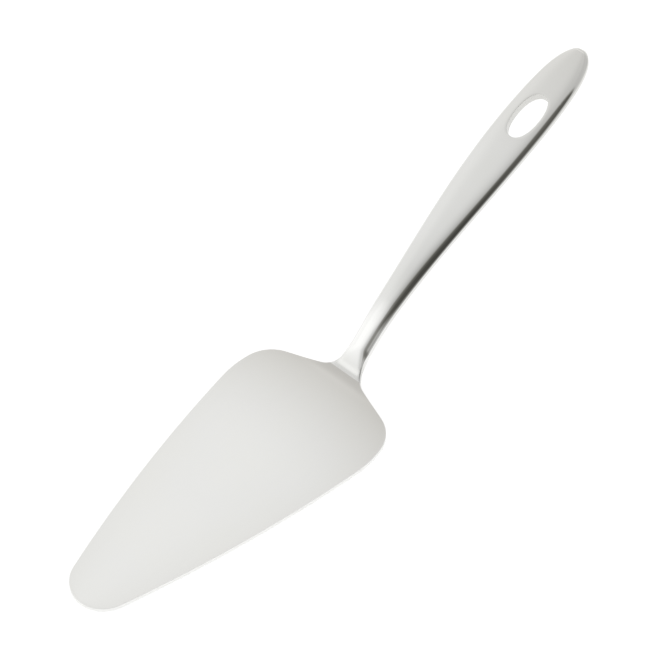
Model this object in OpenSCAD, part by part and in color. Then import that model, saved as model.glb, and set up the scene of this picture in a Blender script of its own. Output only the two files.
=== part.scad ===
// Cake server in stainless steel, 264 mm long, that rests on the flat of its blade.
// Two pieces: a blade cut from sheet and a forged handle, butt welded at the root of the neck.
// X runs from the tip of the blade to the end of the handle, Z is up.
// The origin is on the underside of the blade, on its centreline, where the blade is widest.

/* [Blade] */
// Length of the flat of the blade, from its tip to the bend of the neck
blade_length = 123; // [110:1:140]
// Width of the blade at its widest part
blade_width = 64.4; // [56:0.2:72]
// Thickness of the blade sheet
blade_thickness = 1.6; // [1.2:0.1:2.2]
// Radius of the rounded tip
tip_radius = 11.8; // [9:0.1:14]
// Radius of the long bowed sides
side_radius = 550; // [400:10:900]
// Distance from the widest part back to the bend of the neck
shoulder_setback = 18.8; // [16:0.2:22]
// Radius of the outline at its widest part
crown_radius = 38; // [32:1:46]
// Radius of the two back corners
corner_radius = 13.8; // [11:0.2:16]
// Angle of the outline where the back corner begins
corner_start = 11.3; // [8:0.1:14]
// Angle of the straight back edges to the centreline
back_angle = 69.4; // [64:0.2:74]
// Radius of the hollow fillet between a back edge and the neck
root_fillet = 8.6; // [6:0.2:10]

/* [Neck] */
// Width of the neck
neck_width = 9; // [8:0.1:11]
// Thickness of the neck at its stoutest
neck_thickness = 4.5; // [3.6:0.1:5.4]
// Radius of the bend from the blade up into the neck
bend_radius = 14.4; // [12:0.2:18]
// Angle of the neck above the blade
rise_angle = 41.5; // [38:0.1:46]
// Length of the straight part of the neck
neck_length = 13.8; // [11:0.1:19]
// Length along the bend from its start to the weld
weld_setback = 5.5; // [4:0.1:7]
// Length over which the neck thickens behind the weld
thickening_length = 11.5; // [9:0.5:12]
// Fullness of the neck's section, where 2 is an ellipse
neck_power = 2.3; // [2:0.1:2.8]

/* [Handle] */
// Radius of the knee between neck and handle
knee_radius = 77; // [60:1:100]
// Angle that the knee turns down
knee_angle = 8.5; // [7:0.1:11]
// Radius of the long arch of the handle
arch_radius = 382; // [340:2:430]
// Angle that the arch turns down
arch_angle = 11.7; // [9:0.1:13]
// Length of the straight end of the handle, behind the arch
tail_length = 36.7; // [32:0.1:42]
// Width of the handle at its widest part
handle_width = 18.6; // [17:0.2:22]
// Thickness of the handle from its widest part to its end
handle_thickness = 3.6; // [3:0.1:4.4]
// Length from the bend to where the neck starts to widen
widening_start = 17.6; // [17.6:0.2:23]
// Narrowing of the handle from its widest part to its rounded end
end_taper = 0.3; // [0.2:0.01:0.4]
// Roundness of the end in plan, where 2 is an ellipse
end_power = 6.5; // [4:0.5:8]
// Fullness of the section where the handle is widest
handle_power = 3.6; // [2.4:0.1:4]

/* [Hanging eye] */
// Length of the eye along the handle
eye_length = 19.4; // [15:0.2:22]
// Width of the eye across the handle
eye_width = 10; // [8:0.2:12]
// Distance from the end of the handle to the middle of the eye
eye_setback = 32.6; // [30:0.1:36]
// Chamfer round the rim of the eye, on both faces
eye_chamfer = 0.2; // [0.1:0.05:0.5]
// Fullness of the eye's outline, where 2 is an ellipse
eye_power = 2.2; // [2:0.1:3]

/* [Hidden] */

// Amount by which a cut runs past the face that it opens
overrun = 1;
// Turn between two points of an arc of the blade's outline
arc_step = 2.5;
// Points round a section of the handle, and round the eye
section_points = 36;
eye_points = 48;
// Stations along the weld's end, the widening part and the rounded end of the handle
root_stations = 16;
widening_stations = 24;
end_stations = 14;
// The section starts almost square at the weld, flush with the sheet
weld_power = 9;

// Plan of the blade, as circles that touch each other from the inside

tip_x = shoulder_setback - blade_length;
tip_centre = [tip_x + tip_radius, 0];
crown_centre = [0, blade_width / 2 - crown_radius];
corner_centre = crown_centre + (crown_radius - corner_radius) * outward(corner_start);
side_centre = far_meeting(tip_centre, side_radius - tip_radius, crown_centre, side_radius - crown_radius);
side_start = heading(side_centre, tip_centre);
side_end = heading(side_centre, crown_centre);

// The back edge runs straight from the corner to the fillet of the neck
corner_end = corner_centre + corner_radius * outward(back_angle);
fillet_w = neck_width / 2 + root_fillet;
fillet_start_w = fillet_w - root_fillet * cos(back_angle);
fillet_start_x = corner_end[0] + (corner_end[1] - fillet_start_w) / tan(back_angle);
fillet_x = fillet_start_x + root_fillet * sin(back_angle);
fillet_centre = [fillet_x, fillet_w];

// Direction out of the outline where its heading has turned down by an angle
function outward(angle) = [sin(angle), cos(angle)];

// The angle of that direction from one centre to another
function heading(from, to) = atan2(to[0] - from[0], to[1] - from[1]);

// The point at distance r1 from c1 and r2 from c2, on the far side of the centreline
function far_meeting(c1, r1, c2, r2) =
    let (
        span = norm(c2 - c1),
        along = (r1 * r1 - r2 * r2 + span * span) / (2 * span),
        off = sqrt(r1 * r1 - along * along),
        dir = (c2 - c1) / span
    )
    c1 + along * dir + off * [dir[1], -dir[0]];

// Points of an arc, with the outward direction turning from one angle to another
function arc(centre, radius, from, to) =
    let (steps = max(2, ceil(abs(to - from) / arc_step)))
    [for (i = [0 : steps]) centre + radius * outward(from + (to - from) * i / steps)];

// One half of the plan, from the tip to the neck
function half_plan() = concat(
    arc(tip_centre, tip_radius, -90, side_start),
    arc(side_centre, side_radius, side_start, side_end),
    arc(crown_centre, crown_radius, side_end, corner_start),
    arc(corner_centre, corner_radius, corner_start, back_angle),
    arc(fillet_centre, -root_fillet, back_angle, 0)
);

// Path of the middle of the metal, from the bend to the end of the handle

bend_length = rise_angle * PI / 180 * bend_radius;
legs = [
    [bend_length, rise_angle],
    [neck_length, 0],
    [knee_angle * PI / 180 * knee_radius, -knee_angle],
    [arch_angle * PI / 180 * arch_radius, -arch_angle],
    [tail_length, 0]
];
path_start = [0, shoulder_setback, blade_thickness / 2, 0];
leg_starts = [for (i = [0 : len(legs)]) leg_start(i)];
path_end = leg_starts[len(legs)][0];
widest_s = leg_starts[len(legs) - 1][0];

// Length, X, Z and angle at the start of a leg
function leg_start(i) = i == 0 ? path_start : along_leg(leg_start(i - 1), legs[i - 1], 1);

// The same after a share of a leg
function along_leg(start, leg, share) =
    let (
        run = leg[0] * share,
        turn = leg[1] * share,
        chord = turn == 0 ? run : run * sin(turn / 2) / (turn / 2 * PI / 180),
        dir = start[3] + turn / 2
    )
    [start[0] + run, start[1] + chord * cos(dir), start[2] + chord * sin(dir), start[3] + turn];

// The same at a length along the whole path
function on_path(s) =
    let (i = max([for (k = [0 : len(legs) - 1]) if (k == 0 || s >= leg_starts[k][0]) k]))
    along_leg(leg_starts[i], legs[i], (s - leg_starts[i][0]) / legs[i][0]);

// A point at y across the path and h above it
function off_path(s, y, h) =
    let (p = on_path(s))
    [p[1] - h * sin(p[3]), y, p[2] + h * cos(p[3])];

// Widths and thicknesses of the handle along the path

neck_start_s = weld_setback;
end_run = path_end - widest_s;

// Smooth step from 0 to 1
function ease(t) = (1 - cos(180 * min(max(t, 0), 1))) / 2;

// Share of the thickening behind the weld, and of the widening from neck to handle
function thickened(s) = ease((s - neck_start_s) / thickening_length);
function widened(s) = ease((s - widening_start) / (widest_s - widening_start));

function half_width(s) =
    let (
        x = on_path(s)[1],
        in_fillet = fillet_x - x,
        v = (s - widest_s) / end_run
    )
    in_fillet > 0 ? fillet_w - sqrt(root_fillet * root_fillet - in_fillet * in_fillet)
    : v <= 0 ? neck_width / 2 + (handle_width - neck_width) / 2 * widened(s)
    : handle_width / 2 * (1 - end_taper * v * v) * sqrt(1 - pow(v, end_power));

// Round at the very end, as a quarter of a circle in the side view
function half_thickness(s) =
    let (to_end = (path_end - s) / (handle_thickness / 2))
    to_end < 1 ? handle_thickness / 2 * sqrt(max(0, 1 - (1 - to_end) * (1 - to_end)))
    : blade_thickness / 2 + (neck_thickness - blade_thickness) / 2 * thickened(s)
        + (handle_thickness - neck_thickness) / 2 * widened(s);

function section_power(s) =
    weld_power + (neck_power - weld_power) * thickened(s) + (handle_power - neck_power) * widened(s);

// A number's power, with the sign kept
function signed_pow(value, power) = sign(value) * pow(abs(value), power);

// One closed section of the handle
function section(s) =
    let (a = half_width(s), b = half_thickness(s), e = 2 / section_power(s))
    [for (j = [0 : section_points - 1])
        let (turn = 360 * j / section_points)
        off_path(s, a * signed_pow(cos(turn), e), b * signed_pow(sin(turn), e))];

// Places of the sections, close together where the shape changes fast
root_end_s = widening_start;
stations = concat(
    [for (i = [0 : root_stations - 1]) neck_start_s + (root_end_s - neck_start_s) * i / root_stations],
    [for (i = [0 : widening_stations - 1]) root_end_s + (widest_s - root_end_s) * i / widening_stations],
    [for (i = [0 : end_stations - 1]) widest_s + end_run * sin(90 * i / end_stations)]
);

// A closed solid through rings of equally many points, between two flat ends or up to a point
module loft(rings, point) {
    n = len(rings[0]);
    m = len(rings);
    points = concat([for (ring = rings) each ring], is_undef(point) ? [] : [point]);
    sides = [for (i = [0 : m - 2]) for (j = [0 : n - 1])
        let (p = i * n + j, q = i * n + (j + 1) % n)
        each [[p, p + n, q], [q, p + n, q + n]]];
    first = [for (j = [0 : n - 1]) j];
    last = [for (j = [n - 1 : -1 : 0]) (m - 1) * n + j];
    cone = [for (j = [0 : n - 1]) [(m - 1) * n + j, m * n, (m - 1) * n + (j + 1) % n]];
    polyhedron(points, concat([first], sides, is_undef(point) ? [last] : cone));
}

// Side view of the sheet: the flat and the start of the bend, up to the weld
module sheet_profile() {
    steps = ceil(on_path(weld_setback)[3] / arc_step);
    bend = [for (i = [0 : steps]) weld_setback * i / steps];
    top = [for (s = bend) off_path(s, 0, blade_thickness / 2)];
    under = [for (i = [steps : -1 : 0]) off_path(bend[i], 0, -blade_thickness / 2)];
    nose = [
        [tip_x - overrun, 0],
        [tip_x - overrun, blade_thickness]
    ];
    rotate([90, 0, 0])
        linear_extrude(blade_width + 2 * overrun, center = true)
            polygon(concat(nose, [for (p = concat(top, under)) [p[0], p[2]]]));
}

module sheet_plan() {
    half = half_plan();
    mirrored = [for (i = [len(half) - 1 : -1 : 1]) [half[i][0], -half[i][1]]];
    linear_extrude(bend_radius)
        polygon(concat(half, mirrored));
}

module blade() {
    color("gainsboro")
        intersection() {
            translate([0, 0, -overrun])
                sheet_plan();
            sheet_profile();
        }
}

// The eye, cut square through the handle with a chamfer on each face
module eye() {
    s = path_end - eye_setback;
    face = half_thickness(s);
    levels = [
        [-face - overrun, eye_chamfer + overrun],
        [-face + eye_chamfer, 0],
        [face - eye_chamfer, 0],
        [face + overrun, eye_chamfer + overrun]
    ];
    p = on_path(s);
    dir = [cos(p[3]), 0, sin(p[3])];
    e = 2 / eye_power;
    loft([for (level = levels) [for (j = [0 : eye_points - 1])
        let (turn = 360 * j / eye_points)
        off_path(s, (eye_width / 2 + level[1]) * signed_pow(sin(turn), e), level[0])
            + (eye_length / 2 + level[1]) * signed_pow(cos(turn), e) * dir]]);
}

module handle() {
    color("silver")
        difference() {
            loft([for (s = stations) section(s)], off_path(path_end, 0, 0));
            eye();
        }
}

blade();
handle();
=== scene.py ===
# Cake server in stainless steel: satin blade of sheet, forged and polished handle with a hanging eye
import math
import bpy
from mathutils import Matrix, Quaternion, Vector


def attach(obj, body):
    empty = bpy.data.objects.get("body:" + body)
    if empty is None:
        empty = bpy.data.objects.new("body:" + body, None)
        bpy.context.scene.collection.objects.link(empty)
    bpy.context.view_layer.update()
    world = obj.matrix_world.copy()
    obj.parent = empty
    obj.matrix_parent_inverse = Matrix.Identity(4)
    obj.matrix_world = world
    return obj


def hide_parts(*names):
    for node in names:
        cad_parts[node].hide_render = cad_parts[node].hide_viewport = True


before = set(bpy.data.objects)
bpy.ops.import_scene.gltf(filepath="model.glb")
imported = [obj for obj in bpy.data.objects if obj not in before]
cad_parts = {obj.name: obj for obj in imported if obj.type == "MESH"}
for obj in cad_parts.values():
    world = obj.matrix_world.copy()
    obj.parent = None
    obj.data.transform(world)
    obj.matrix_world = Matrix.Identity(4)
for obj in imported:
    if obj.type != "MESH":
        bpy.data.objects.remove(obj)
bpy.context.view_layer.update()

mm = 0.001
scene = bpy.context.scene


def addNode(tree, kind, settings=None, inputs=None):
    # a node with its settings, and a value or a link on each named input
    node = tree.nodes.new(kind)
    for name, value in (settings or {}).items():
        setattr(node, name, value)
    for socket, value in (inputs or {}).items():
        if isinstance(value, bpy.types.Node):
            value = value.outputs[0]
        if isinstance(value, bpy.types.NodeSocket):
            tree.links.new(value, node.inputs[socket])
        else:
            node.inputs[socket].default_value = value
    return node


def mathNode(tree, operation, *values, clamp=False):
    # arithmetic on numbers or links
    return addNode(tree, "ShaderNodeMath", {"operation": operation, "use_clamp": clamp},
                   dict(enumerate(values)))


def mapNode(tree, value, span, ends=(0.0, 1.0), smooth=False):
    # from one range to another, held at both ends
    return addNode(tree, "ShaderNodeMapRange", {"interpolation_type": "SMOOTHSTEP" if smooth else "LINEAR"}, {
        "Value": value, "From Min": span[0], "From Max": span[1], "To Min": ends[0], "To Max": ends[1]})


def mixNode(tree, dataType, factor, a, b):
    mix = addNode(tree, "ShaderNodeMix", {"data_type": dataType}, {"Factor": factor, "A": a, "B": b})
    return mix.outputs["Result"]


def linearColor(hexText):
    # sRGB hex to the linear values that a shader takes
    parts = [int(hexText[i:i + 2], 16) / 255 for i in (1, 3, 5)]
    return tuple(c / 12.92 if c <= 0.04045 else ((c + 0.055) / 1.055) ** 2.4 for c in parts) + (1.0,)


cameraSetup = {
    "place": (-309.5, -301.4, 547.3),  # mm, where the lens stands
    "target": (36.58, 18.74, 0.0),     # mm, the point of the table in the middle of the frame
    "roll": -0.44,                     # degrees
    "lens": 109.09, "sensor": 36,      # mm
    "clipEnd": 20,                     # m
}
cameraData = bpy.data.cameras.new("camera")
cameraData.lens = cameraSetup["lens"]
cameraData.sensor_width = cameraSetup["sensor"]
cameraData.clip_end = cameraSetup["clipEnd"]
camera = bpy.data.objects.new("camera", cameraData)
camera.location = Vector(cameraSetup["place"]) * mm
aim = (Vector(cameraSetup["target"]) - Vector(cameraSetup["place"])).normalized()
upright = aim.to_track_quat("-Z", "Y") @ Quaternion((0, 0, 1), math.radians(cameraSetup["roll"]))
camera.rotation_euler = upright.to_euler()
scene.collection.objects.link(camera)
scene.camera = camera
print("camera placed")


# sizes of the two pieces, in mm and degrees
sheet = {
    "length": 123, "width": 64.4, "thickness": 1.6, "tipRadius": 11.8, "sideRadius": 550,
    "shoulderSetback": 18.8, "crownRadius": 38, "cornerRadius": 13.8, "cornerStart": 11.3,
    "backAngle": 69.4, "rootFillet": 8.6, "edgeRound": 0.06,
}
neck = {
    "width": 9, "thickness": 4.5, "bendRadius": 14.4, "riseAngle": 41.5, "length": 13.8,
    "weldSetback": 5.5, "thickeningLength": 11.5, "wideningStart": 17.6, "fullness": 2.3,
}
grip = {
    "kneeRadius": 77, "kneeAngle": 8.5, "archRadius": 382, "archAngle": 11.7, "tailLength": 36.7,
    "width": 18.6, "thickness": 3.6, "endTaper": 0.3, "endPower": 6.5, "fullness": 3.6,
    "weldFullness": 9,
}
eye = {"length": 19.4, "width": 10, "setback": 32.6, "power": 2.2, "rimRound": 0.06}


def outward(angle):
    turn = math.radians(angle)
    return Vector((math.sin(turn), math.cos(turn)))


def farMeeting(c1, r1, c2, r2):
    # the point r1 from c1 and r2 from c2, on the far side of the centreline
    span = (c2 - c1).length
    along = (r1 * r1 - r2 * r2 + span * span) / (2 * span)
    side = (c2 - c1) / span
    return c1 + along * side + math.sqrt(r1 * r1 - along * along) * Vector((side.y, -side.x))


def heading(start, to):
    return math.degrees(math.atan2(to.x - start.x, to.y - start.y))


backTurn = math.radians(sheet["backAngle"])
tipX = sheet["shoulderSetback"] - sheet["length"]
tipCentre = Vector((tipX + sheet["tipRadius"], 0))
crownCentre = Vector((0, sheet["width"] / 2 - sheet["crownRadius"]))
cornerCentre = crownCentre + (sheet["crownRadius"] - sheet["cornerRadius"]) * outward(sheet["cornerStart"])
sideCentre = farMeeting(tipCentre, sheet["sideRadius"] - sheet["tipRadius"],
                        crownCentre, sheet["sideRadius"] - sheet["crownRadius"])
cornerEnd = cornerCentre + sheet["cornerRadius"] * outward(sheet["backAngle"])
filletW = neck["width"] / 2 + sheet["rootFillet"]
filletStartW = filletW - sheet["rootFillet"] * math.cos(backTurn)
filletStartX = cornerEnd.x + (cornerEnd.y - filletStartW) / math.tan(backTurn)
filletX = filletStartX + sheet["rootFillet"] * math.sin(backTurn)

# legs of the path through the middle of the metal: length and turn
legs = [
    (math.radians(neck["riseAngle"]) * neck["bendRadius"], neck["riseAngle"]),
    (neck["length"], 0),
    (math.radians(grip["kneeAngle"]) * grip["kneeRadius"], -grip["kneeAngle"]),
    (math.radians(grip["archAngle"]) * grip["archRadius"], -grip["archAngle"]),
    (grip["tailLength"], 0),
]


def alongLeg(start, leg, share):
    s, x, z, angle = start
    run, turn = leg[0] * share, leg[1] * share
    half = math.radians(turn / 2)
    chord = run * math.sin(half) / half if half else run
    way = math.radians(angle) + half
    return (s + run, x + chord * math.cos(way), z + chord * math.sin(way), angle + turn)


legStarts = [(0, sheet["shoulderSetback"], sheet["thickness"] / 2, 0)]
for leg in legs:
    legStarts.append(alongLeg(legStarts[-1], leg, 1))
pathEnd = legStarts[-1][0]
widestS = legStarts[-2][0]
weldS = neck["weldSetback"]


def onPath(s):
    # length, X, Z and angle at a length along the path
    k = max(i for i in range(len(legs)) if i == 0 or s >= legStarts[i][0])
    return alongLeg(legStarts[k], legs[k], (s - legStarts[k][0]) / legs[k][0])


def ease(t):
    return (1 - math.cos(math.pi * min(max(t, 0), 1))) / 2


def signedPower(value, power):
    return math.copysign(abs(value) ** power, value)


def thickened(s):
    # share of the thickening behind the weld
    return ease((s - weldS) / neck["thickeningLength"])


def widened(s):
    # share of the widening from the neck to the handle
    return ease((s - neck["wideningStart"]) / (widestS - neck["wideningStart"]))


def halfWidth(s):
    inFillet = filletX - onPath(s)[1]
    if inFillet > 0:
        return filletW - math.sqrt(sheet["rootFillet"] ** 2 - inFillet ** 2)
    v = (s - widestS) / (pathEnd - widestS)
    if v <= 0:
        return neck["width"] / 2 + (grip["width"] - neck["width"]) / 2 * widened(s)
    return grip["width"] / 2 * (1 - grip["endTaper"] * v * v) * math.sqrt(max(0, 1 - v ** grip["endPower"]))


def halfThickness(s):
    # the very end is round in the side view too
    toEnd = (pathEnd - s) / (grip["thickness"] / 2)
    if toEnd < 1:
        return grip["thickness"] / 2 * math.sqrt(max(0, 1 - (1 - toEnd) ** 2))
    thickness = sheet["thickness"] + (neck["thickness"] - sheet["thickness"]) * thickened(s)
    return (thickness + (grip["thickness"] - neck["thickness"]) * widened(s)) / 2


def fullness(s):
    power = grip["weldFullness"] + (neck["fullness"] - grip["weldFullness"]) * thickened(s)
    return power + (grip["fullness"] - neck["fullness"]) * widened(s)


def pointsObject(name, places, attributes):
    # loose vertices that a node tree samples, with one number or vector at each
    mesh = bpy.data.meshes.new(name)
    mesh.from_pydata([tuple(c * mm for c in p) for p in places], [], [])
    for label, values in attributes.items():
        isVector = isinstance(values[0], tuple)
        layer = mesh.attributes.new(label, "FLOAT_VECTOR" if isVector else "FLOAT", "POINT")
        for i, value in enumerate(values):
            if isVector:
                layer.data[i].vector = value
            else:
                layer.data[i].value = value
    piece = bpy.data.objects.new(name, mesh)
    scene.collection.objects.link(piece)
    return piece


def runTree(piece, tree, values):
    # sets the tree's inputs by identifier, then keeps the result as a plain mesh
    modifier = piece.modifiers.new("shape", "NODES")
    modifier.node_group = tree
    for item in tree.interface.items_tree:
        if item.item_type == "SOCKET" and item.in_out == "INPUT" and item.name in values:
            modifier[item.identifier] = values[item.name]
    depsgraph = bpy.context.evaluated_depsgraph_get()
    plain = bpy.data.meshes.new_from_object(piece.evaluated_get(depsgraph))
    piece.modifiers.remove(modifier)
    old = piece.data
    piece.data = plain
    bpy.data.meshes.remove(old)
    plain.name = piece.name
    return piece


def newTree(name, inputs):
    tree = bpy.data.node_groups.new(name, "GeometryNodeTree")
    tree.interface.new_socket("Geometry", in_out="OUTPUT", socket_type="NodeSocketGeometry")
    tree.interface.new_socket("Geometry", in_out="INPUT", socket_type="NodeSocketGeometry")
    for label, kind in inputs:
        tree.interface.new_socket(label, in_out="INPUT", socket_type=kind)
    return tree, tree.nodes.new("NodeGroupInput"), tree.nodes.new("NodeGroupOutput")


def namedValue(tree, name, kind="FLOAT"):
    return addNode(tree, "GeometryNodeInputNamedAttribute", {"data_type": kind}, {"Name": name})


def sampleNode(tree, geometry, value, index, kind="FLOAT"):
    return addNode(tree, "GeometryNodeSampleIndex", {"data_type": kind}, {
        "Geometry": geometry, "Value": value, "Index": index})


def sampleXyz(tree, geometry, value, index):
    # the three parts of a vector at one vertex
    sampled = sampleNode(tree, geometry, value, index, "FLOAT_VECTOR")
    return addNode(tree, "ShaderNodeSeparateXYZ", None, {0: sampled}).outputs


def storeNamed(tree, geometry, name, value, kind="FLOAT"):
    return addNode(tree, "GeometryNodeStoreNamedAttribute", {"data_type": kind}, {
        "Geometry": geometry, "Name": name, "Value": value})


meshSetup = {
    "weldDistance": 0.001,  # mm, closes the seam between the halves
    "sharpAngle": 62,       # degrees, above which an edge stays sharp
}


def finishHalf(tree, given, result, halves):
    # mirrors one half, welds the seam, keeps only square corners sharp
    joined = addNode(tree, "GeometryNodeJoinGeometry")
    for half in halves:
        tree.links.new(half.outputs[0], joined.inputs[0])
    mirrored = addNode(tree, "GeometryNodeTransform", None, {"Geometry": joined, "Scale": (1, -1, 1)})
    turned = addNode(tree, "GeometryNodeFlipFaces", None, {"Mesh": mirrored})
    whole = addNode(tree, "GeometryNodeJoinGeometry")
    tree.links.new(joined.outputs[0], whole.inputs[0])
    tree.links.new(turned.outputs[0], whole.inputs[0])
    welded = addNode(tree, "GeometryNodeMergeByDistance", None, {
        "Geometry": whole, "Distance": meshSetup["weldDistance"] * mm})
    smooth = addNode(tree, "GeometryNodeSetShadeSmooth", {"domain": "FACE"}, {
        "Geometry": welded, "Shade Smooth": True})
    angle = addNode(tree, "GeometryNodeInputMeshEdgeAngle")
    square = addNode(tree, "FunctionNodeCompare", {"data_type": "FLOAT", "operation": "GREATER_THAN"}, {
        0: angle.outputs["Unsigned Angle"], 1: math.radians(meshSetup["sharpAngle"])})
    sharp = addNode(tree, "GeometryNodeSetShadeSmooth", {"domain": "EDGE"}, {
        "Geometry": smooth, "Selection": square, "Shade Smooth": False})
    finished = addNode(tree, "GeometryNodeSetMaterial", None, {
        "Geometry": sharp, "Material": given.outputs["Material"]})
    tree.links.new(finished.outputs[0], result.inputs[0])


# the tree that forms the blade: the outline's stations across the sheet's edge profile, then the bend

outlineSetup = {
    "arcStep": 2.5,     # degrees
    "sideStep": 2.0,    # mm
    "closest": 1e-5,    # mm, nearer stations are left out
    "backSteps": 12, "acrossColumns": 16, "roundSteps": 4,
    "flatBeside": 0.35,  # mm of the flat face kept apart beside the round
    "edgeBeside": 0.35,  # how much of the edge's look it has
}


def bladeOutline():
    # stations from tip to weld: length along the sheet, half width and the direction out of the outline
    rows = []

    def addArc(centre, radius, start, end, step=outlineSetup["arcStep"]):
        count = max(2, math.ceil(abs(end - start) / step))
        for i in range(count + 1):
            side = outward(start + (end - start) * i / count)
            point = centre + radius * side
            rows.append((point.x, max(point.y, 0), side.x, side.y))

    sideStart, sideEnd = heading(sideCentre, tipCentre), heading(sideCentre, crownCentre)
    sideStep = math.degrees(outlineSetup["sideStep"] / sheet["sideRadius"])
    weldX = onPath(weldS)[1]
    filletEnd = math.degrees(math.asin((filletX - weldX) / sheet["rootFillet"]))
    addArc(tipCentre, sheet["tipRadius"], -90, sideStart)
    addArc(sideCentre, sheet["sideRadius"], sideStart, sideEnd, sideStep)
    addArc(crownCentre, sheet["crownRadius"], sideEnd, sheet["cornerStart"])
    addArc(cornerCentre, sheet["cornerRadius"], sheet["cornerStart"], sheet["backAngle"])
    start, back = rows[-1][:2], outward(sheet["backAngle"])
    steps = outlineSetup["backSteps"]
    straight = [(filletStartX - start[0]) * k / steps for k in range(1, steps)]
    rows.extend((start[0] + dx, start[1] - dx * math.tan(backTurn), back.x, back.y) for dx in straight)
    addArc(Vector((filletX, filletW)), -sheet["rootFillet"], sheet["backAngle"], filletEnd)
    stations = []
    for x, w, sideX, sideY in rows:
        flat = x - sheet["shoulderSetback"]
        s = flat if flat <= 0 else neck["bendRadius"] * math.asin(flat / neck["bendRadius"])
        if not stations or s - stations[-1][0] > outlineSetup["closest"]:
            stations.append((s, w, sideX, sideY))
    stations[-1] = (weldS, stations[-1][1], 0, 1)
    stations.append((weldS, 0, 0, 0))  # closes the end at the weld
    return stations


def sheetColumns():
    # share of the half width, inset, height above the middle and closeness to the edge
    half, r = sheet["thickness"] / 2, sheet["edgeRound"]
    inset = -(r + outlineSetup["flatBeside"])
    count = outlineSetup["acrossColumns"]
    top = [(i / count, inset, half, outlineSetup["edgeBeside"] * (i == count)) for i in range(count + 1)]
    for i in range(outlineSetup["roundSteps"] + 1):
        turn = math.pi / 2 * i / outlineSetup["roundSteps"]
        top.append((1, -r * (1 - math.sin(turn)), half - r * (1 - math.cos(turn)), 1))
    return top + [(share, d, -h, edge) for share, d, h, edge in reversed(top)]


def pressedSheetTree():
    tree, given, result = newTree("pressed sheet", [
        ("Edge Profile", "NodeSocketObject"), ("Stations", "NodeSocketInt"), ("Columns", "NodeSocketInt"),
        ("Thickness", "NodeSocketFloat"), ("Bend Start", "NodeSocketFloat"),
        ("Bend Radius", "NodeSocketFloat"), ("Material", "NodeSocketMaterial")])
    columns, bendRadius = given.outputs["Columns"], given.outputs["Bend Radius"]
    grid = addNode(tree, "GeometryNodeMeshGrid", None, {
        "Vertices X": given.outputs["Stations"], "Vertices Y": columns})
    index = addNode(tree, "GeometryNodeInputIndex")
    row = mathNode(tree, "FLOOR", mathNode(tree, "DIVIDE", index, columns))
    column = mathNode(tree, "MODULO", index, columns)
    position = addNode(tree, "GeometryNodeInputPosition")
    outline = given.outputs["Geometry"]
    profile = addNode(tree, "GeometryNodeObjectInfo", None, {"Object": given.outputs["Edge Profile"]})
    profile = profile.outputs["Geometry"]
    station = sampleXyz(tree, outline, position, row)
    side = sampleXyz(tree, outline, namedValue(tree, "outward", "FLOAT_VECTOR"), row)
    level = sampleXyz(tree, profile, position, column)
    share = sampleNode(tree, profile, namedValue(tree, "share"), column)
    edge = sampleNode(tree, profile, namedValue(tree, "edge"), column)
    height, inset = level["Z"], level["Y"]
    along = mathNode(tree, "MULTIPLY_ADD", inset, side["X"], station["X"])
    reach = mathNode(tree, "MULTIPLY_ADD", inset, side["Y"], station["Y"])
    across = mathNode(tree, "MULTIPLY", reach, share)
    # flat as far as the bend, then round it
    bent = mathNode(tree, "MAXIMUM", along, 0.0)
    flat = mathNode(tree, "MINIMUM", along, 0.0)
    turn = mathNode(tree, "DIVIDE", bent, bendRadius)
    arm = mathNode(tree, "SUBTRACT", bendRadius, height)
    bendX = mathNode(tree, "MULTIPLY_ADD", arm, mathNode(tree, "SINE", turn), flat)
    x = mathNode(tree, "ADD", bendX, given.outputs["Bend Start"])
    drop = mathNode(tree, "MULTIPLY", arm, mathNode(tree, "COSINE", turn))
    middle = mathNode(tree, "MULTIPLY_ADD", given.outputs["Thickness"], 0.5, bendRadius)
    z = mathNode(tree, "SUBTRACT", middle, drop)
    place = addNode(tree, "ShaderNodeCombineXYZ", None, {0: x, 1: across, 2: z})
    flow = addNode(tree, "ShaderNodeCombineXYZ", None, {0: along, 1: across, 2: height})
    marked = storeNamed(tree, grid, "flow", flow, "FLOAT_VECTOR")
    marked = storeNamed(tree, marked, "edge", edge)
    marked = storeNamed(tree, marked, "share", share)
    half = addNode(tree, "GeometryNodeSetPosition", None, {"Geometry": marked, "Position": place})
    finishHalf(tree, given, result, [half])
    return tree


# the tree that forges the handle: full rounded sections along the path, and the wall of the eye

forging = {
    "rootStep": 0.45, "gripStep": 0.7,  # mm
    "eyeSteps": 56, "endSteps": 48, "skinColumns": 49, "rimSteps": 4,
    "edgePower": 12.0,  # how closely the edge's look keeps to the sides
    "wallMark": 2.0,    # edge runs from 0 to 1 on the skin and has this value on the wall of the eye
    "leastWidth": 1e-7,  # m, so that nothing is divided by zero at the ends
}


def handleStations():
    # rows of length, whether the section is closed, the eye's edge, and the way out of the eye
    eyeS = pathEnd - eye["setback"]
    reach = eye["length"] / 2 + eye["rimRound"]
    spread = eye["width"] / 2 + eye["rimRound"]
    rows = [(weldS, True, 0, 0, 0)]

    def addRun(start, end, step):
        count = math.ceil((end - start) / step)
        rows.extend((start + (end - start) * i / count, False, 0, 0, 0) for i in range(count))

    addRun(weldS, neck["wideningStart"], forging["rootStep"])
    addRun(neck["wideningStart"], eyeS - reach, forging["gripStep"])
    eyeFirst = len(rows)
    for i in range(forging["eyeSteps"] + 1):
        turn = math.pi * (1 - i / forging["eyeSteps"])
        outX = signedPower(math.cos(turn), 2 / eye["power"])
        outY = max(0, math.sin(turn)) ** (2 / eye["power"]) if 0 < i < forging["eyeSteps"] else 0
        rows.append((eyeS + reach * outX, False, spread * outY, outX, outY))
    start = eyeS + reach
    for i in range(1, forging["endSteps"] + 1):
        way = math.sin(math.pi / 2 * i / forging["endSteps"])
        rows.append((start + (pathEnd - start) * way, False, 0, 0, 0))
    return rows, eyeFirst


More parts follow.
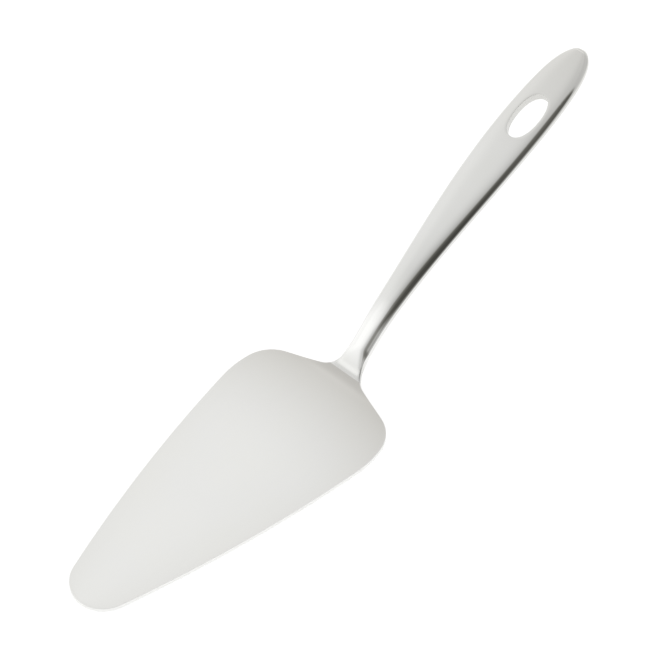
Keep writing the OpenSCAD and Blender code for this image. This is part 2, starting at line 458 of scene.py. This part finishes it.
def forgedHandleTree():
    tree, given, result = newTree("forged handle", [
        ("Rim Profile", "NodeSocketObject"), ("Stations", "NodeSocketInt"), ("Columns", "NodeSocketInt"),
        ("Eye First", "NodeSocketInt"), ("Eye Stations", "NodeSocketInt"), ("Rim Rows", "NodeSocketInt"),
        ("Rim Round", "NodeSocketFloat"), ("Material", "NodeSocketMaterial")])
    path = given.outputs["Geometry"]
    position = addNode(tree, "GeometryNodeInputPosition")
    index = addNode(tree, "GeometryNodeInputIndex")
    rim = addNode(tree, "GeometryNodeObjectInfo", None, {"Object": given.outputs["Rim Profile"]})
    rim = rim.outputs["Geometry"]
    halves = []
    for part in ("skin", "wall"):
        isSkin = part == "skin"
        columns = given.outputs["Columns" if isSkin else "Rim Rows"]
        grid = addNode(tree, "GeometryNodeMeshGrid", {"label": part}, {
            "Vertices X": given.outputs["Stations" if isSkin else "Eye Stations"], "Vertices Y": columns})
        row = mathNode(tree, "FLOOR", mathNode(tree, "DIVIDE", index, columns))
        if not isSkin:
            row = mathNode(tree, "ADD", row, given.outputs["Eye First"])
        column = mathNode(tree, "MODULO", index, columns)
        angle, halfWide, halfThick, power, eyeEdge, along = (
            sampleNode(tree, path, namedValue(tree, label), row)
            for label in ("angle", "halfWidth", "halfThickness", "fullness", "eyeEdge", "along"))
        centre = sampleNode(tree, path, position, row, "FLOAT_VECTOR")
        powerBack = mathNode(tree, "DIVIDE", 1.0, power)
        surfaceY = eyeEdge
        if isSkin:
            # across from the eye's edge or the middle, round the side and back underneath
            step = mathNode(tree, "DIVIDE", column, mathNode(tree, "SUBTRACT", columns, 1.0))
            turn = mathNode(tree, "MULTIPLY_ADD", step, -math.pi, math.pi / 2)
            above = mathNode(tree, "MAXIMUM", mathNode(tree, "COSINE", turn), 0.0)
            share = mathNode(tree, "POWER", above, mathNode(tree, "MULTIPLY", powerBack, 2.0))
            room = mathNode(tree, "SUBTRACT", halfWide, eyeEdge)
            across = mathNode(tree, "MULTIPLY_ADD", room, share, eyeEdge)
            side = mathNode(tree, "SIGN", mathNode(tree, "SINE", turn))
            surfaceY = across
        # height of the skin above the middle, on the section's rounded curve
        wide = mathNode(tree, "MAXIMUM", halfWide, forging["leastWidth"])
        out = mathNode(tree, "DIVIDE", surfaceY, wide, clamp=True)
        left = mathNode(tree, "SUBTRACT", 1.0, mathNode(tree, "POWER", out, power), clamp=True)
        surface = mathNode(tree, "MULTIPLY", mathNode(tree, "POWER", left, powerBack), halfThick)
        if isSkin:
            height = mathNode(tree, "MULTIPLY", surface, side)
            shift = 0.0
            edge = mathNode(tree, "POWER", out, forging["edgePower"])
        else:
            # inwards and down from the skin round the rim, then through to the other face
            way = sampleXyz(tree, path, namedValue(tree, "eyeOut", "FLOAT_VECTOR"), row)
            level = sampleXyz(tree, rim, position, column)
            side = sampleNode(tree, rim, namedValue(tree, "side"), column)
            inwards = mathNode(tree, "SUBTRACT", level["Y"], given.outputs["Rim Round"])
            shift = mathNode(tree, "MULTIPLY", inwards, way["X"])
            across = mathNode(tree, "MULTIPLY_ADD", inwards, way["Y"], eyeEdge)
            height = mathNode(tree, "MULTIPLY", mathNode(tree, "SUBTRACT", surface, level["Z"]), side)
            edge = forging["wallMark"]
        sine, cosine = mathNode(tree, "SINE", angle), mathNode(tree, "COSINE", angle)
        minusSine = mathNode(tree, "MULTIPLY", sine, -1.0)
        normal = addNode(tree, "ShaderNodeCombineXYZ", None, {0: minusSine, 2: cosine})
        tangent = addNode(tree, "ShaderNodeCombineXYZ", None, {0: cosine, 2: sine})
        place = centre
        for direction, amount in ((normal, height), (tangent, shift)):
            moved = addNode(tree, "ShaderNodeVectorMath", {"operation": "SCALE"}, {
                "Vector": direction, "Scale": amount})
            place = addNode(tree, "ShaderNodeVectorMath", {"operation": "ADD"}, {0: place, 1: moved})
        wideways = addNode(tree, "ShaderNodeCombineXYZ", None, {1: across})
        place = addNode(tree, "ShaderNodeVectorMath", {"operation": "ADD"}, {0: place, 1: wideways})
        flow = addNode(tree, "ShaderNodeCombineXYZ", None, {0: along, 1: across, 2: height})
        marked = storeNamed(tree, grid, "flow", flow, "FLOAT_VECTOR")
        marked = storeNamed(tree, marked, "edge", edge)
        halves.append(addNode(tree, "GeometryNodeSetPosition", None, {
            "Geometry": marked, "Position": place}))
    finishHalf(tree, given, result, halves)
    return tree


# both steels: sizes are mm, and the two ends of a span are mm along the metal from the start of the bend
# the tones and where they change are set to match the photo, and their causes aren't known

# stainless sheet, ground to a fine satin along the blade: a soft sheen, painted shade towards the weld and
# the rim, and a painted highlight on the cut edge
satin = {
    "color": "#E7E7E5", "shade": "#E5E5E2", "paintedEdgeHighlight": "#F3F3F1", "rough": (0.29, 0.31), "edgeRough": 0.34,
    "lineWidth": 0.45, "lineLength": 30.0,  # real hair lines are 0.05 mm wide, drawn coarser
    "lineBump": 0.0008,
    "cloud": 28.0, "scratchWidth": 0.5, "scratchLength": 9.0,
    "rimPaintedShade": 0.15,  # painted shade: how far the outline's rim is darker too
    "paintedShade": "#CAC8C3", "paintedShadeSpan": (-45.0, 4.5), "paintedShadeRise": 2.0,  # painted shade, darker towards the weld
}
# stainless forging, polished along the handle: nearly a mirror, with a haze of fine lines, a painted
# highlight at the neck and painted shade towards the end
polish = {
    "color": "#E1E1DF", "shade": "#DFDFDC", "rough": (0.02, 0.05), "edgeRough": 0.04,
    "lineWidth": 0.5, "lineLength": 40.0, "lineBump": 0.0006,
    "cloud": 18.0, "scratchWidth": 0.45, "scratchLength": 6.0,
    "paintedShade": "#D6D5D1", "paintedShadeSpan": (60.0, 150.0), "paintedShadeRise": 2.0,  # painted shade, darker towards the end
    "paintedHighlight": "#EAEAE8", "paintedHighlightFrom": (9.0, 15.0), "paintedHighlightTo": (23.0, 32.0),  # painted highlight, lightest at the neck
    "edgeSpan": (7.0, 14.0), "mattRough": 0.5,  # matt edges beside the weld
    "wallRough": 0.45,  # matt wall of the eye
    "satinEnd": 1.5,    # over which the satin of the blade fades out behind the weld
}
grain = {
    "spread": (0.3, 0.7), "tintSpread": (0.35, 0.65), "scratchSpread": (0.70, 0.78),  # of the noise
    "lineDetail": 3.0, "cloudDetail": 2.0,
    "cloudRough": 0.02, "scratchRough": 0.002,  # roughness that each adds
    "slant": 23,        # degrees of the marks to the grain
    "edgePower": 0.35,  # widens the matt edges beside the weld
    "rimPower": 2.0, "cutPower": 3.0,
    "bump": 0.12,
}


def steelMaterial(name, look):
    material = bpy.data.materials.new(name)
    material.use_nodes = True
    tree = material.node_tree
    shader = tree.nodes["Principled BSDF"]
    shader.inputs["Metallic"].default_value = 1.0
    flow = addNode(tree, "ShaderNodeAttribute", {"attribute_name": "flow"}).outputs["Vector"]
    edge = addNode(tree, "ShaderNodeAttribute", {"attribute_name": "edge"}).outputs["Fac"]
    along = addNode(tree, "ShaderNodeSeparateXYZ", None, {0: flow}).outputs["X"]

    def noise(coords, scale, detail):
        node = addNode(tree, "ShaderNodeTexNoise", None, {
            "Vector": coords, "Scale": scale, "Detail": detail})
        return node.outputs["Fac"]

    def overLength(span, ends=(0.0, 1.0), smooth=True):
        return mapNode(tree, along, (span[0] * mm, span[1] * mm), ends, smooth)

    fine = 1 / (look["lineWidth"] * mm)
    long = 1 / (look["lineLength"] * mm)
    lineCoords = addNode(tree, "ShaderNodeMapping", None, {"Vector": flow, "Scale": (long, fine, fine)})
    lines = noise(lineCoords, 1.0, grain["lineDetail"])
    cloud = noise(flow, 1 / (look["cloud"] * mm), grain["cloudDetail"])
    # faint short marks, at a slant to the grain
    slant = addNode(tree, "ShaderNodeMapping", None, {
        "Vector": flow, "Rotation": (0, 0, math.radians(grain["slant"]))})
    scratchCoords = addNode(tree, "ShaderNodeMapping", None, {
        "Vector": slant,
        "Scale": (1 / (look["scratchLength"] * mm), 1 / (look["scratchWidth"] * mm), 0.0)})
    scratches = mapNode(tree, noise(scratchCoords, 1.0, 0.0), grain["scratchSpread"])

    grainRough = mapNode(tree, lines, grain["spread"], look["rough"])
    cloudRough = mapNode(tree, cloud, grain["spread"], (-grain["cloudRough"], grain["cloudRough"]))
    rough = mathNode(tree, "ADD", grainRough, cloudRough)
    rough = mathNode(tree, "MULTIPLY_ADD", scratches, grain["scratchRough"], rough)
    rough = mixNode(tree, "FLOAT", edge, rough, look["edgeRough"])
    if "satinEnd" in look:
        beside = overLength(look["edgeSpan"], (1.0, 0.0))
        nearEdge = mathNode(tree, "POWER", edge, grain["edgePower"])
        unreached = mathNode(tree, "MULTIPLY", nearEdge, beside, clamp=True)
        rough = mixNode(tree, "FLOAT", unreached, rough, look["mattRough"])
        inEye = mathNode(tree, "SUBTRACT", edge, 1.0, clamp=True)  # 1 on the wall of the eye alone
        rough = mixNode(tree, "FLOAT", inEye, rough, look["wallRough"])
        fade = overLength((weldS, weldS + look["satinEnd"]), (1.0, 0.0))
        rough = mixNode(tree, "FLOAT", fade, rough, satin["rough"][0])
    tree.links.new(rough, shader.inputs["Roughness"])

    tint = mapNode(tree, cloud, grain["tintSpread"])
    color = mixNode(tree, "RGBA", tint, linearColor(look["shade"]), linearColor(look["color"]))
    # painted shade: the colour darkens over the span, on the blade towards the weld and on the handle towards
    # the end
    paintedShadeAmount = mathNode(tree, "POWER", overLength(look["paintedShadeSpan"], smooth=False), look["paintedShadeRise"])
    # painted shade, darker towards the outline's rim of the blade
    if "rimPaintedShade" in look:
        rim = addNode(tree, "ShaderNodeAttribute", {"attribute_name": "share"}).outputs["Fac"]
        rimRise = mathNode(tree, "POWER", rim, grain["rimPower"])
        paintedShadeAmount = mathNode(tree, "MULTIPLY_ADD", rimRise, look["rimPaintedShade"], paintedShadeAmount, clamp=True)
    color = mixNode(tree, "RGBA", paintedShadeAmount, color, linearColor(look["paintedShade"]))
    # painted highlight: lighter in colour at the neck
    if "paintedHighlight" in look:
        paintedHighlightStart = overLength(look["paintedHighlightFrom"])
        paintedHighlightAmount = overLength(look["paintedHighlightTo"], (paintedHighlightStart, 0.0))
        color = mixNode(tree, "RGBA", paintedHighlightAmount, color, linearColor(look["paintedHighlight"]))
    # painted highlight: the cut edge lighter in colour
    if "paintedEdgeHighlight" in look:
        cut = mathNode(tree, "POWER", edge, grain["cutPower"], clamp=True)
        color = mixNode(tree, "RGBA", cut, color, linearColor(look["paintedEdgeHighlight"]))
    tree.links.new(color, shader.inputs["Base Color"])

    bump = addNode(tree, "ShaderNodeBump", None, {
        "Height": lines, "Strength": grain["bump"], "Distance": look["lineBump"] * mm})
    tree.links.new(bump.outputs["Normal"], shader.inputs["Normal"])
    return material


satinSteel = steelMaterial("satin stainless steel", satin)
polishedSteel = steelMaterial("polished stainless steel", polish)
print("materials made")

# blade
stations = bladeOutline()
columns = sheetColumns()
blade = pointsObject("sheetBlade", [(s, w, 0) for s, w, _, _ in stations], {
    "outward": [(sideX, sideY, 0.0) for _, _, sideX, sideY in stations]})
edgeProfile = pointsObject("edgeProfile", [(0, d, h) for _, d, h, _ in columns], {
    "share": [float(share) for share, _, _, _ in columns],
    "edge": [float(edge) for _, _, _, edge in columns]})
runTree(blade, pressedSheetTree(), {
    "Edge Profile": edgeProfile, "Stations": len(stations), "Columns": len(columns),
    "Thickness": sheet["thickness"] * mm, "Bend Start": sheet["shoulderSetback"] * mm,
    "Bend Radius": neck["bendRadius"] * mm, "Material": satinSteel})
bpy.data.objects.remove(edgeProfile)
print("blade made:", len(blade.data.polygons), "faces")

# handle
rows, eyeFirst = handleStations()
path = [onPath(row[0]) for row in rows]
handle = pointsObject("forgedHandle", [(x, 0, z) for _, x, z, _ in path], {
    "along": [s * mm for s, _, _, _, _ in rows],
    "angle": [math.radians(angle) for _, _, _, angle in path],
    "halfWidth": [0.0 if closed else halfWidth(s) * mm for s, closed, _, _, _ in rows],
    "halfThickness": [0.0 if closed else halfThickness(s) * mm for s, closed, _, _, _ in rows],
    "fullness": [fullness(s) for s, _, _, _, _ in rows],
    "eyeEdge": [eyeEdge * mm for _, _, eyeEdge, _, _ in rows],
    "eyeOut": [(float(outX), float(outY), 0.0) for _, _, _, outX, outY in rows]})
turns = [math.pi / 2 * i / forging["rimSteps"] for i in range(forging["rimSteps"] + 1)]
rimRows = [(eye["rimRound"] * (1 - math.sin(t)), eye["rimRound"] * (1 - math.cos(t)), -1.0) for t in turns]
rimRows += [(d, drop, 1.0) for d, drop, _ in reversed(rimRows)]
rimProfile = pointsObject("rimProfile", [(0, d, drop) for d, drop, _ in rimRows], {
    "side": [side for _, _, side in rimRows]})
runTree(handle, forgedHandleTree(), {
    "Rim Profile": rimProfile, "Stations": len(rows), "Columns": forging["skinColumns"],
    "Eye First": eyeFirst, "Eye Stations": forging["eyeSteps"] + 1, "Rim Rows": len(rimRows),
    "Rim Round": eye["rimRound"] * mm, "Material": polishedSteel})
bpy.data.objects.remove(rimProfile)
print("handle made:", len(handle.data.polygons), "faces")

for piece, node, slot in ((blade, "blade", "satin_steel"), (handle, "handle", "polished_steel")):
    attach(piece, "root")
    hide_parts(node)

# white table, which keeps the server's soft shadow
table = {"size": 6.0, "color": "#FAFAFA", "rough": 0.9, "glow": 0.5}  # size in m
mesh = bpy.data.meshes.new("table")
half = table["size"] / 2
mesh.from_pydata([(-half, -half, 0), (half, -half, 0), (half, half, 0), (-half, half, 0)], [], [(0, 1, 2, 3)])
floor = bpy.data.objects.new("table", mesh)
scene.collection.objects.link(floor)
white = bpy.data.materials.new("white laminate table")
white.use_nodes = True
tree = white.node_tree
shader = tree.nodes["Principled BSDF"]
shader.inputs["Base Color"].default_value = linearColor(table["color"])
shader.inputs["Roughness"].default_value = table["rough"]
shader.inputs["Specular IOR Level"].default_value = 0.0
# it glows only for what sees it, so that it adds no light of its own
rays = addNode(tree, "ShaderNodeLightPath").outputs
seen = mathNode(tree, "MAXIMUM", rays["Is Camera Ray"], rays["Is Glossy Ray"])
seen = mathNode(tree, "MAXIMUM", seen, rays["Is Transmission Ray"])
glow = mathNode(tree, "MULTIPLY", seen, table["glow"])
tree.links.new(glow.outputs[0], shader.inputs["Emission Strength"])
shader.inputs["Emission Color"].default_value = (1, 1, 1, 1)
mesh.materials.append(white)

# studio: a white room with soft panels and one dark opening, fitted to the reflections in the photo
studio = {
    "dark": "#FFFDF3",         # the little that the dark opening gives back is warm
    "darkSpan": (0.1, 0.6),    # strengths over which that tint fades out
    "plain": 0.62,             # strength for everything but what the camera, metal and glass see
    "level": 0.925, "least": 0.02,
    # way as azimuth and elevation, the cosines where it starts and is full, and what it adds
    "panels": (
        ((97.9, 25.1), (0.444, 0.894), 0.478),
        ((-28.8, 31.2), (0.359, 0.505), 0.166),
        ((18.3, 31.7), (0.688, 0.905), 0.230),
        ((198.2, 12.1), (0.715, 0.835), -0.237),
        ((-2.1, 25.2), (-0.266, -0.014), -0.260),
        ((-1.9, -10.1), (0.274, 0.870), 0.799),
        ((61.6, 46.1), (0.104, 0.887), 0.809),
        ((-0.5, 4.1), (0.390, 0.984), -0.940),
        ((-106.6, 34.8), (0.862, 1.010), -0.397),
        ((79.2, 51.2), (-0.004, 0.938), -0.928),
        ((169.9, 23.7), (0.852, 0.952), 0.173),
        ((171.7, 19.0), (0.677, 0.846), 0.165),
    ),
    # the dark opening: the way out of each side, and the cosines where it ends and is gone
    "depth": 0.800,
    "opening": (
        (13.2, (-0.016, 0.022)),
        (98.8, (0.096, 0.216)),
        (115.0, (-0.100, 0.794)),
        (213.1, (0.692, 0.954)),
        (-59.6, (0.300, 0.717)),
    ),
}

world = bpy.data.worlds.new("white studio")
scene.world = world
world.use_nodes = True
tree = world.node_tree
background = tree.nodes["Background"]
looking = addNode(tree, "ShaderNodeTexCoord").outputs["Generated"]


def studioStep(azimuth, elevation, span, ends):
    # a smooth step between two cosines to a way, from one value to the other
    a, e = math.radians(azimuth), math.radians(elevation)
    way = Vector((math.cos(e) * math.cos(a), math.cos(e) * math.sin(a), math.sin(e)))
    facing = addNode(tree, "ShaderNodeVectorMath", {"operation": "DOT_PRODUCT"}, {
        0: looking, 1: tuple(way)})
    return mapNode(tree, facing.outputs["Value"], span, ends, smooth=True)


around = studio["level"]
for (azimuth, elevation), span, gain in studio["panels"]:
    around = mathNode(tree, "ADD", studioStep(azimuth, elevation, span, (0.0, gain)), around)
shade = studio["depth"]
for azimuth, span in studio["opening"]:
    shade = mathNode(tree, "MULTIPLY", studioStep(azimuth, 0, span, (1.0, 0.0)), shade)
room = mathNode(tree, "MULTIPLY", around, mathNode(tree, "SUBTRACT", 1.0, shade))
room = mathNode(tree, "MAXIMUM", room, studio["least"])
rays = addNode(tree, "ShaderNodeLightPath").outputs
mirrored = mathNode(tree, "MAXIMUM", rays["Is Glossy Ray"], rays["Is Transmission Ray"])
unseen = mixNode(tree, "FLOAT", rays["Is Camera Ray"], studio["plain"], 1.0)
strength = mixNode(tree, "FLOAT", mirrored, unseen, room)
tree.links.new(strength, background.inputs["Strength"])
lightness = mapNode(tree, strength, studio["darkSpan"])
roomColor = mixNode(tree, "RGBA", lightness, linearColor(studio["dark"]), (1, 1, 1, 1))
tree.links.new(roomColor, background.inputs["Color"])

print("studio lit")

scene.view_settings.view_transform = "Standard"
